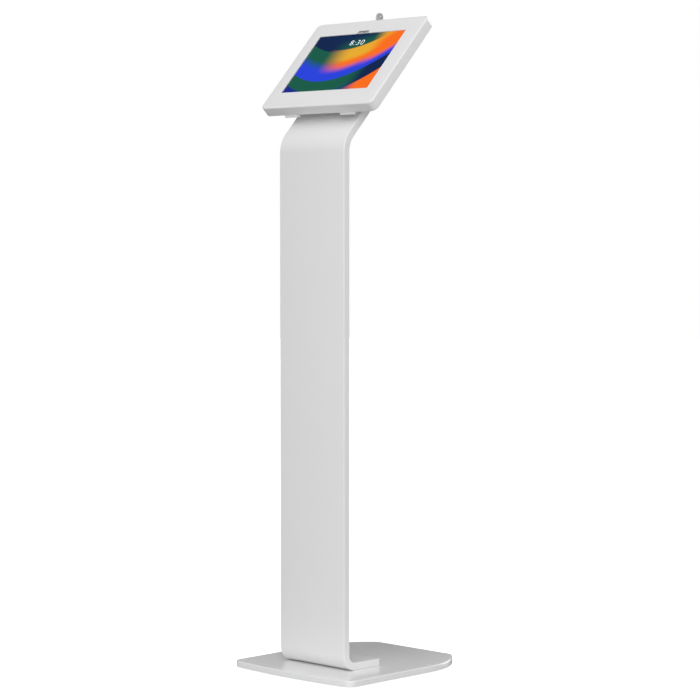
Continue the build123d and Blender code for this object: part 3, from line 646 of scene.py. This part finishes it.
class KIOSK_OT_column(bpy.types.Operator):
    """Column: one bent sheet with flanges, swept from its foot to its neck"""
    bl_idname = "kiosk.column"
    bl_label = "Column"

    def execute(self, context):
        column = context.scene.kiosk_column
        low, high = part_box("column")
        bm = bmesh.new()
        section = section_points(high.x, column.depth, column.edge_radius)
        foot_end = low.y + column.foot_length
        sweep_column(bm, [(x, foot_end, low.z + z) for x, z in section], 0.0, True)
        outward(bm)
        bmesh.ops.solidify(bm, geom=bm.faces[:], thickness=column.sheet)
        outward(bm)
        piece = finish_piece(bm, "column_sheet", slot_material("powder_coat"), "stand",
                             ["column"])
        soften(piece, FINE_EDGE)
        return {"FINISHED"}


class KIOSK_OT_back_cover(bpy.types.Operator):
    """Back cover: a bent strip flush between the column's flanges, with the cable outlet"""
    bl_idname = "kiosk.back_cover"
    bl_label = "Back cover"

    def execute(self, context):
        column = context.scene.kiosk_column
        low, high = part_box("column")
        inset = column.sheet + column.cover_gap
        half = high.x - inset
        foot_end = low.y + column.foot_length - inset
        bm = bmesh.new()
        sweep_column(bm, [(x, foot_end, low.z + column.depth) for x in (-half, half)], inset, False)
        outward(bm)
        if sum((f.normal.y + f.normal.z) * f.calc_area() for f in bm.faces) < 0:
            bmesh.ops.reverse_faces(bm, faces=bm.faces)
        bmesh.ops.solidify(bm, geom=bm.faces[:], thickness=column.cover_sheet)
        outward(bm)
        piece = finish_piece(bm, "back_cover_sheet", slot_material("powder_coat"), "stand",
                             ["column_back_cover"])
        ring_low, ring_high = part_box("outlet_grommet")
        hole = bmesh.new()
        cylinder(hole, column.outlet / 2, column.outlet, along((ring_low + ring_high) / 2, "Y"),
                 segments=48)
        cut(piece, hole)
        soften(piece, column.cover_edge, 2)
        return {"FINISHED"}


# ------------------------------------------------------------------ front frame
def aperture_cutter():
    """The aperture and its camera notch, as one block through the face."""
    head = bpy.context.scene.kiosk_head
    bm = bmesh.new()
    right = head.aperture_width / 2
    top = head.aperture_bottom + head.aperture_height
    half = head.notch_width / 2
    outline = [(-right, head.aperture_bottom), (right, head.aperture_bottom),
               (right, top), (half, top),
               (half - head.notch_slope, top + head.notch_height),
               (head.notch_slope - half, top + head.notch_height), (-half, top), (-right, top)]
    corners = [bm.verts.new((head.aperture_x + x, y, head.sheet)) for x, y in outline]
    bm.faces.new(corners)
    round_corners(bm, [(corner, head.aperture_radius) for corner in corners], steps=5)
    extrude_faces(bm, bm.faces[:], Vector((0, 0, -3 * head.sheet)))
    return bm


def head_knuckles(bm):
    """The frame's two hinge tongues, each with its knuckle."""
    head = bpy.context.scene.kiosk_head
    axis_depth = head.depth + head.hinge_setback
    tongue_length = head.hinge_setback + head.tongue_root
    for x in (-head.hinge_spacing / 2, head.hinge_spacing / 2):
        tongue = Matrix.LocRotScale(
            Vector((x, head.sheet / 2, tongue_length / 2 - axis_depth)), None,
            Vector((head.hinge_knuckle, head.sheet, tongue_length)))
        bmesh.ops.create_cube(bm, size=1.0, matrix=tongue)
        cylinder(bm, head.hinge_radius, head.hinge_knuckle,
                 along((x, -head.hinge_drop, -axis_depth), "X"))


class KIOSK_OT_front_frame(bpy.types.Operator):
    """Front frame: a pressed shell with the aperture, the camera notch and the hinge knuckles"""
    bl_idname = "kiosk.front_frame"
    bl_label = "Front frame"

    def execute(self, context):
        head = context.scene.kiosk_head
        bm = bmesh.new()
        plan = rounded_plate(bm, head.width, head.height, head.corner_radius, steps=10)
        extrude_faces(bm, plan, Vector((0, 0, -head.depth)))
        outward(bm)
        face = max(bm.faces, key=lambda f: f.calc_center_median().z)
        round_edges(bm, face.edges, head.edge_radius)
        rear = min(bm.faces, key=lambda f: f.calc_center_median().z)
        bmesh.ops.delete(bm, geom=[rear], context="FACES_ONLY")
        bmesh.ops.solidify(bm, geom=bm.faces[:], thickness=head.sheet)
        outward(bm)
        bmesh.ops.translate(bm, vec=(0, head.height / 2, 0), verts=bm.verts)
        piece = finish_piece(bm, "front_frame_shell", slot_material("powder_coat"), "front_cover",
                             ["front_frame"])
        cut(piece, aperture_cutter())
        hole = bmesh.new()
        cylinder(hole, head.lock_hole, 4 * head.sheet,
                 along((0, head.height, -head.lock_depth), "Y"), segments=48)
        cut(piece, hole)
        bm = bmesh.new()
        bm.from_mesh(piece.data)
        head_knuckles(bm)
        bmesh.ops.transform(bm, matrix=head_matrix(), verts=bm.verts)
        bm.to_mesh(piece.data)
        bm.free()
        shade(piece.data)
        soften(piece, FINE_EDGE)
        return {"FINISHED"}


# ------------------------------------------------------------------ tablet's screen
def screen_material():
    """Glass with a grey printed border, whose grey also stands in as painted shade in the camera notch; inside it
    an abstract picture glows.
    """
    screen = bpy.context.scene.kiosk_screen
    material, nodes, links, shader = new_material("lit_screen")
    place = nodes.new("ShaderNodeUVMap")
    place.uv_map = "screen"
    split = nodes.new("ShaderNodeSeparateXYZ")
    links.new(place.outputs["UV"], split.inputs["Vector"])
    u, v = split.outputs["X"], split.outputs["Y"]

    def calculated(operation, *values):
        """One step of arithmetic on numbers or sockets."""
        node = nodes.new("ShaderNodeMath")
        node.operation = operation
        for socket, value in zip(node.inputs, values):
            if isinstance(value, bpy.types.NodeSocket):
                links.new(value, socket)
            else:
                socket.default_value = value
        return node.outputs["Value"]

    def ramp(value, *stops):
        """Eases between colours along a value; each stop is a position and a colour."""
        node = nodes.new("ShaderNodeValToRGB")
        node.color_ramp.interpolation = "EASE"
        elements = node.color_ramp.elements
        while len(elements) < len(stops):
            elements.new(0.5)
        for element, (position, shade_of) in zip(elements, stops):
            element.position = position
            element.color = (*shade_of, 1.0)
        links.new(value, node.inputs["Fac"])
        return node.outputs["Color"]

    def inside(coordinate):
        """1 where a coordinate lies between 0 and 1, and 0 elsewhere."""
        off_middle = calculated("ABSOLUTE", calculated("SUBTRACT", coordinate, 0.5))
        return calculated("LESS_THAN", off_middle, 0.5)

    # a ribbon that dips on the left and climbs to the right: dip is its lower edge, a parabola,
    # and band is the height above that edge, as a position on the ramps
    lowest_u, lowest_v, steepness = 0.36, 0.20, 1.15
    band_scale, band_start = 0.6667, 0.3333
    offset = calculated("SUBTRACT", u, lowest_u)
    dip = calculated("MULTIPLY_ADD", calculated("MULTIPLY", offset, offset), steepness, lowest_v)
    band = calculated("MULTIPLY_ADD", calculated("SUBTRACT", v, dip), band_scale, band_start)
    navy, teal, blue = screen.navy[:], screen.teal[:], screen.blue[:]
    orange, yellow, deep = screen.orange[:], screen.yellow[:], scaled(screen.blue, 0.35)
    black, white = (0, 0, 0), (1, 1, 1)
    cool = ramp(band, (0.05, deep), (0.20, deep), (0.21, teal), (0.325, teal), (0.335, blue),
                (0.43, blue), (0.56, teal), (0.66, teal), (0.67, navy))
    warm = ramp(band, (0.10, deep), (0.22, teal), (0.325, teal), (0.335, blue), (0.40, blue),
                (0.50, orange), (0.58, yellow), (0.68, yellow), (0.69, teal), (0.85, navy))
    right = ramp(band, (0.0, orange), (0.15, orange), (0.16, navy), (0.325, navy), (0.335, blue),
                 (0.37, blue), (0.46, orange), (0.60, orange), (0.74, yellow))
    to_warm = ramp(u, (0.22, black), (0.52, white))
    to_right = ramp(u, (0.66, black), (0.84, white))
    picture = tint(nodes, links, to_right, tint(nodes, links, to_warm, cool, warm), right)
    lit = calculated("MULTIPLY", inside(u), inside(v))
    # outside the lit area the glass shows its grey border, partly painted shade in the camera notch
    links.new(tint(nodes, links, lit, screen.bezel_grey_with_painted_shade, screen.unlit), shader.inputs["Base Color"])
    links.new(tint(nodes, links, lit, black, picture), shader.inputs["Emission Color"])
    shader.inputs["Emission Strength"].default_value = screen.brightness
    shader.inputs["Roughness"].default_value = 0.12
    shader.inputs["Specular IOR Level"].default_value = 0.03
    return material


class KIOSK_OT_screen(bpy.types.Operator):
    """Tablet's cover glass with its lit picture, the clock on it and the camera's window"""
    bl_idname = "kiosk.screen"
    bl_label = "Screen"

    def execute(self, context):
        screen = context.scene.kiosk_screen
        head = context.scene.kiosk_head
        middle = Vector((head.aperture_x, head.aperture_bottom + head.aperture_height / 2,
                         -screen.front))
        bm = bmesh.new()
        plan = rounded_plate(bm, screen.width, screen.height, screen.corner_radius, steps=8)
        extrude_faces(bm, plan, Vector((0, 0, -screen.thickness)))
        outward(bm)
        layer = bm.loops.layers.uv.new("screen")
        for loop in (loop for face in bm.faces for loop in face.loops):
            x, y, _ = loop.vert.co
            loop[layer].uv = (x / screen.lit_width + 0.5, y / screen.lit_height + 0.5)
        piece = finish_piece(bm, "screen_glass", screen_material(), "stand",
                             ["tablet_glass"], head_matrix() @ Matrix.Translation(middle))
        soften(piece, screen.edge)
        rise = screen.lit_height * screen.clock_rise
        self.clock(context, middle + Vector((0, rise, screen.clock_gap)))
        rise = screen.lit_height / 2 + screen.lens_rise
        self.lens(screen, middle + Vector((0, rise, screen.lens_proud)))
        return {"FINISHED"}

    def clock(self, context, place):
        """The clock's digits, just in front of the glass."""
        screen = context.scene.kiosk_screen
        digit = 0.72    # a digit's height, as a share of the font's size
        text = bpy.data.curves.new("clock_text", "FONT")
        text.body = screen.clock_text
        text.align_x = "CENTER"
        text.align_y = "CENTER"
        text.size = screen.clock_height / digit
        text.offset = -screen.clock_thin
        text.space_character = 1.0 + screen.clock_spacing
        text.resolution_u = 4
        words = add_object("clock_words", text)
        context.view_layer.update()
        shapes = words.evaluated_get(context.evaluated_depsgraph_get())
        mesh = bpy.data.meshes.new_from_object(shapes)
        bpy.data.objects.remove(words)
        bpy.data.curves.remove(text)
        bm = bmesh.new()
        bm.from_mesh(mesh)
        bpy.data.meshes.remove(mesh)
        bmesh.ops.remove_doubles(bm, verts=bm.verts, dist=1e-6)
        extrude_faces(bm, bm.faces[:], Vector((0, 0, screen.clock_relief)))
        outward(bm)
        material, _, _, shader = new_material("clock_white")
        shader.inputs["Base Color"].default_value = (0.8, 0.85, 0.9, 1.0)
        shader.inputs["Emission Color"].default_value = (*screen.clock_white, 1.0)
        shader.inputs["Emission Strength"].default_value = screen.clock_glow
        finish_piece(bm, "clock_digits", material, "stand", (),
                     head_matrix() @ Matrix.Translation(place))

    def lens(self, screen, place):
        """The camera's dark window in the glass's border."""
        bm = bmesh.new()
        cylinder(bm, screen.lens / 2, screen.lens_thickness, Matrix())
        finish_piece(bm, "camera_window", slot_material("camera_lens"), "stand",
                     ["tablet_camera"], head_matrix() @ Matrix.Translation(place))


# ------------------------------------------------------------------ key
class KIOSK_OT_key(bpy.types.Operator):
    """Key in the lock, with a ribbed round bow"""
    bl_idname = "kiosk.key"
    bl_label = "Key"

    def execute(self, context):
        sizes = context.scene.kiosk_key
        head = context.scene.kiosk_head
        bow_y = head.height + sizes.bow_height
        flange_top = head.height + sizes.lock_flange
        hole_rise = sizes.bow / 4
        bm = bmesh.new()
        self.ring(bm, (bow_y, (sizes.bow - sizes.rim) / 2),
                  (bow_y + hole_rise, sizes.ring_hole / 2),
                  sizes.bow_thickness * sizes.groove_floor)
        # The groove floor takes the key's second, darker metal: painted shade between the ribs.
        for face in bm.faces:
            face.material_index = 1
        reach = sizes.bow / 2 - sizes.rim
        self.ring(bm, (bow_y, sizes.bow / 2), (bow_y, reach), sizes.bow_thickness)
        rib_thickness = sizes.bow_thickness * sizes.rib_height
        for k in range(sizes.ribs):
            offset = (k - (sizes.ribs - 1) / 2) * 2 * reach / sizes.ribs
            half = math.sqrt(reach ** 2 - offset ** 2)
            crosses_hole = abs(offset) < (sizes.ring_hole + sizes.rib_width) / 2
            top = hole_rise - sizes.ring_hole if crosses_hole else half
            self.bar(bm, (bow_y - half, bow_y + top), (rib_thickness, sizes.rib_width), offset)
        blade_top = bow_y - reach
        self.bar(bm, (flange_top - sizes.blade_length, blade_top),
                 (sizes.blade_thickness, sizes.blade_width))
        self.bar(bm, (flange_top + sizes.shoulder_gap, blade_top),
                 (sizes.bow_thickness, sizes.shoulder_width))
        outward(bm)
        piece = finish_piece(bm, "key_cut", slot_material("key_metal"), "lock_key",
                             ["key"], head_matrix())
        # second, darker metal for the painted shade on the groove floor
        piece.data.materials.append(metal("key_rib_gap_painted_shade", sizes.rib_gap_painted_shade, 0.5))
        soften(piece, sizes.edge, 2)
        return {"FINISHED"}

    def ring(self, bm, outer, hole, thickness):
        """A closed round plate across the key, between two circles given as height and radius."""
        head = bpy.context.scene.kiosk_head
        edges = set()
        for y, radius in (outer, hole):
            place = along((thickness / 2, y, -head.lock_depth), "X")
            circle = bmesh.ops.create_circle(bm, cap_ends=False, radius=radius, segments=64,
                                             matrix=place)
            edges.update(edge for vert in circle["verts"] for edge in vert.link_edges)
        filled = bmesh.ops.triangle_fill(bm, use_beauty=True, edges=list(edges))["geom"]
        extrude_faces(bm, of_type(filled, bmesh.types.BMFace), Vector((-thickness, 0, 0)))

    def bar(self, bm, reach, section, offset=0.0):
        """One bar of the key between two heights, with its section's thickness and width."""
        head = bpy.context.scene.kiosk_head
        low, high = reach
        bmesh.ops.create_cube(bm, size=1.0, matrix=Matrix.LocRotScale(
            Vector((0, (low + high) / 2, offset - head.lock_depth)), None,
            Vector((section[0], high - low, section[1]))))


# ------------------------------------------------------------------ everything else
class KIOSK_OT_fittings(bpy.types.Operator):
    """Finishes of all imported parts: fixings, lock, hinges, tray, holders, tablet and rubber"""
    bl_idname = "kiosk.fittings"
    bl_label = "Fittings"

    def execute(self, context):
        for part in frame["record"]["subparts"]:
            node = frame["nodes"][part["node"]]
            node.data.materials.clear()
            node.data.materials.append(slot_material(part["material_slot"]))
        return {"FINISHED"}


# ------------------------------------------------------------------ stage
class KIOSK_OT_stage(bpy.types.Operator):
    """Pale floor, soft studio light and the camera"""
    bl_idname = "kiosk.stage"
    bl_label = "Stage"

    def execute(self, context):
        stage = context.scene.kiosk_stage
        self.camera(context, stage)
        self.floor(stage)
        self.world(context, stage)
        self.sun("front_light", stage.front_light, azimuth=48, elevation=9, breadth=30)
        self.sun("high_light", stage.high_light, azimuth=30, elevation=50, breadth=50)
        self.sun("back_light", stage.back_light, azimuth=178, elevation=12, breadth=40)
        context.scene.view_settings.view_transform = "Standard"
        return {"FINISHED"}

    def camera(self, context, stage):
        """The camera, a little above the head's middle and far to the front right."""
        data = bpy.data.cameras.new("kiosk_camera")
        data.sensor_width = stage.sensor
        data.lens = stage.lens
        data.clip_end = stage.far
        camera = add_object("kiosk_camera", data)
        camera.location = stage.place
        camera.rotation_euler = (QUARTER_TURN - stage.drop, 0.0, stage.azimuth)
        context.scene.camera = camera

    def floor(self, stage):
        """A pale round floor, which glows a little and lights nothing but itself."""
        bm = bmesh.new()
        bmesh.ops.create_circle(bm, cap_ends=True, segments=96, radius=stage.floor_radius)
        mesh = bpy.data.meshes.new("floor")
        bm.to_mesh(mesh)
        bm.free()
        floor = add_object("floor", mesh)
        material, nodes, links, shader = new_material("floor_paint")
        cloud = object_noise(nodes, links, 1.5)
        links.new(tint(nodes, links, cloud, scaled(stage.floor, 0.99), stage.floor),
                  shader.inputs["Base Color"])
        shader.inputs["Roughness"].default_value = 0.9
        shader.inputs["Specular IOR Level"].default_value = 0.1
        shader.inputs["Emission Color"].default_value = (1, 1, 1, 1)
        shader.inputs["Emission Strength"].default_value = stage.floor_glow
        mesh.materials.append(material)
        floor.visible_diffuse = False
        floor.visible_glossy = False

    def world(self, context, stage):
        """White to look at, and a soft grey surround to be lit by, brighter on one side."""
        world = bpy.data.worlds.new("studio")
        context.scene.world = world
        world.use_nodes = True
        nodes, links = world.node_tree.nodes, world.node_tree.links
        nodes.clear()
        seen, around = nodes.new("ShaderNodeBackground"), nodes.new("ShaderNodeBackground")
        for background in (seen, around):
            background.inputs["Color"].default_value = (1, 1, 1, 1)
        towards = nodes.new("ShaderNodeVectorMath")
        towards.operation = "DOT_PRODUCT"
        links.new(nodes.new("ShaderNodeTexCoord").outputs["Generated"], towards.inputs[0])
        towards.inputs[1].default_value = stage.bright_side
        level = nodes.new("ShaderNodeMath")
        level.operation = "MULTIPLY_ADD"
        links.new(towards.outputs["Value"], level.inputs[0])
        level.inputs[1].default_value = stage.lean
        level.inputs[2].default_value = stage.surround
        links.new(level.outputs["Value"], around.inputs["Strength"])
        choose = nodes.new("ShaderNodeMixShader")
        is_camera = nodes.new("ShaderNodeLightPath").outputs["Is Camera Ray"]
        for place, socket in enumerate((is_camera, around.outputs[0], seen.outputs[0])):
            links.new(socket, choose.inputs[place])
        output = nodes.new("ShaderNodeOutputWorld")
        links.new(choose.outputs[0], output.inputs["Surface"])

    def sun(self, name, power, azimuth, elevation, breadth):
        """A broad soft light; azimuth counts in degrees from the front to the right."""
        data = bpy.data.lights.new(name, "SUN")
        data.energy = power
        data.angle = math.radians(breadth)
        turn, height = math.radians(azimuth), math.radians(elevation)
        towards = Vector((math.sin(turn) * math.cos(height), -math.cos(turn) * math.cos(height),
                          math.sin(height)))
        add_object(name, data).rotation_euler = towards.to_track_quat("Z", "Y").to_euler()


OPERATORS = [
    KIOSK_OT_stage, KIOSK_OT_fittings, KIOSK_OT_base_plate, KIOSK_OT_column, KIOSK_OT_back_cover,
    KIOSK_OT_front_frame, KIOSK_OT_screen, KIOSK_OT_key,
]


class KIOSK_PT_panel(bpy.types.Panel):
    """Buttons for every piece of the kiosk"""
    bl_idname = "KIOSK_PT_panel"
    bl_label = "Touchscreen kiosk"
    bl_space_type = "VIEW_3D"
    bl_region_type = "UI"
    bl_category = "Kiosk"

    def draw(self, context):
        for operator in OPERATORS:
            self.layout.operator(operator.bl_idname)


def register():
    for group in SETTINGS.values():
        bpy.utils.register_class(group)
    for name, group in SETTINGS.items():
        setattr(bpy.types.Scene, name, PointerProperty(type=group))
    for cls in OPERATORS + [KIOSK_PT_panel]:
        bpy.utils.register_class(cls)


def unregister():
    for cls in reversed(OPERATORS + [KIOSK_PT_panel]):
        bpy.utils.unregister_class(cls)
    for name in SETTINGS:
        delattr(bpy.types.Scene, name)
    for group in reversed(SETTINGS.values()):
        bpy.utils.unregister_class(group)


def main():
    register()
    for operator in OPERATORS:
        space, _, action = operator.bl_idname.partition(".")
        getattr(getattr(bpy.ops, space), action)()


if __name__ == "__main__":
    main()
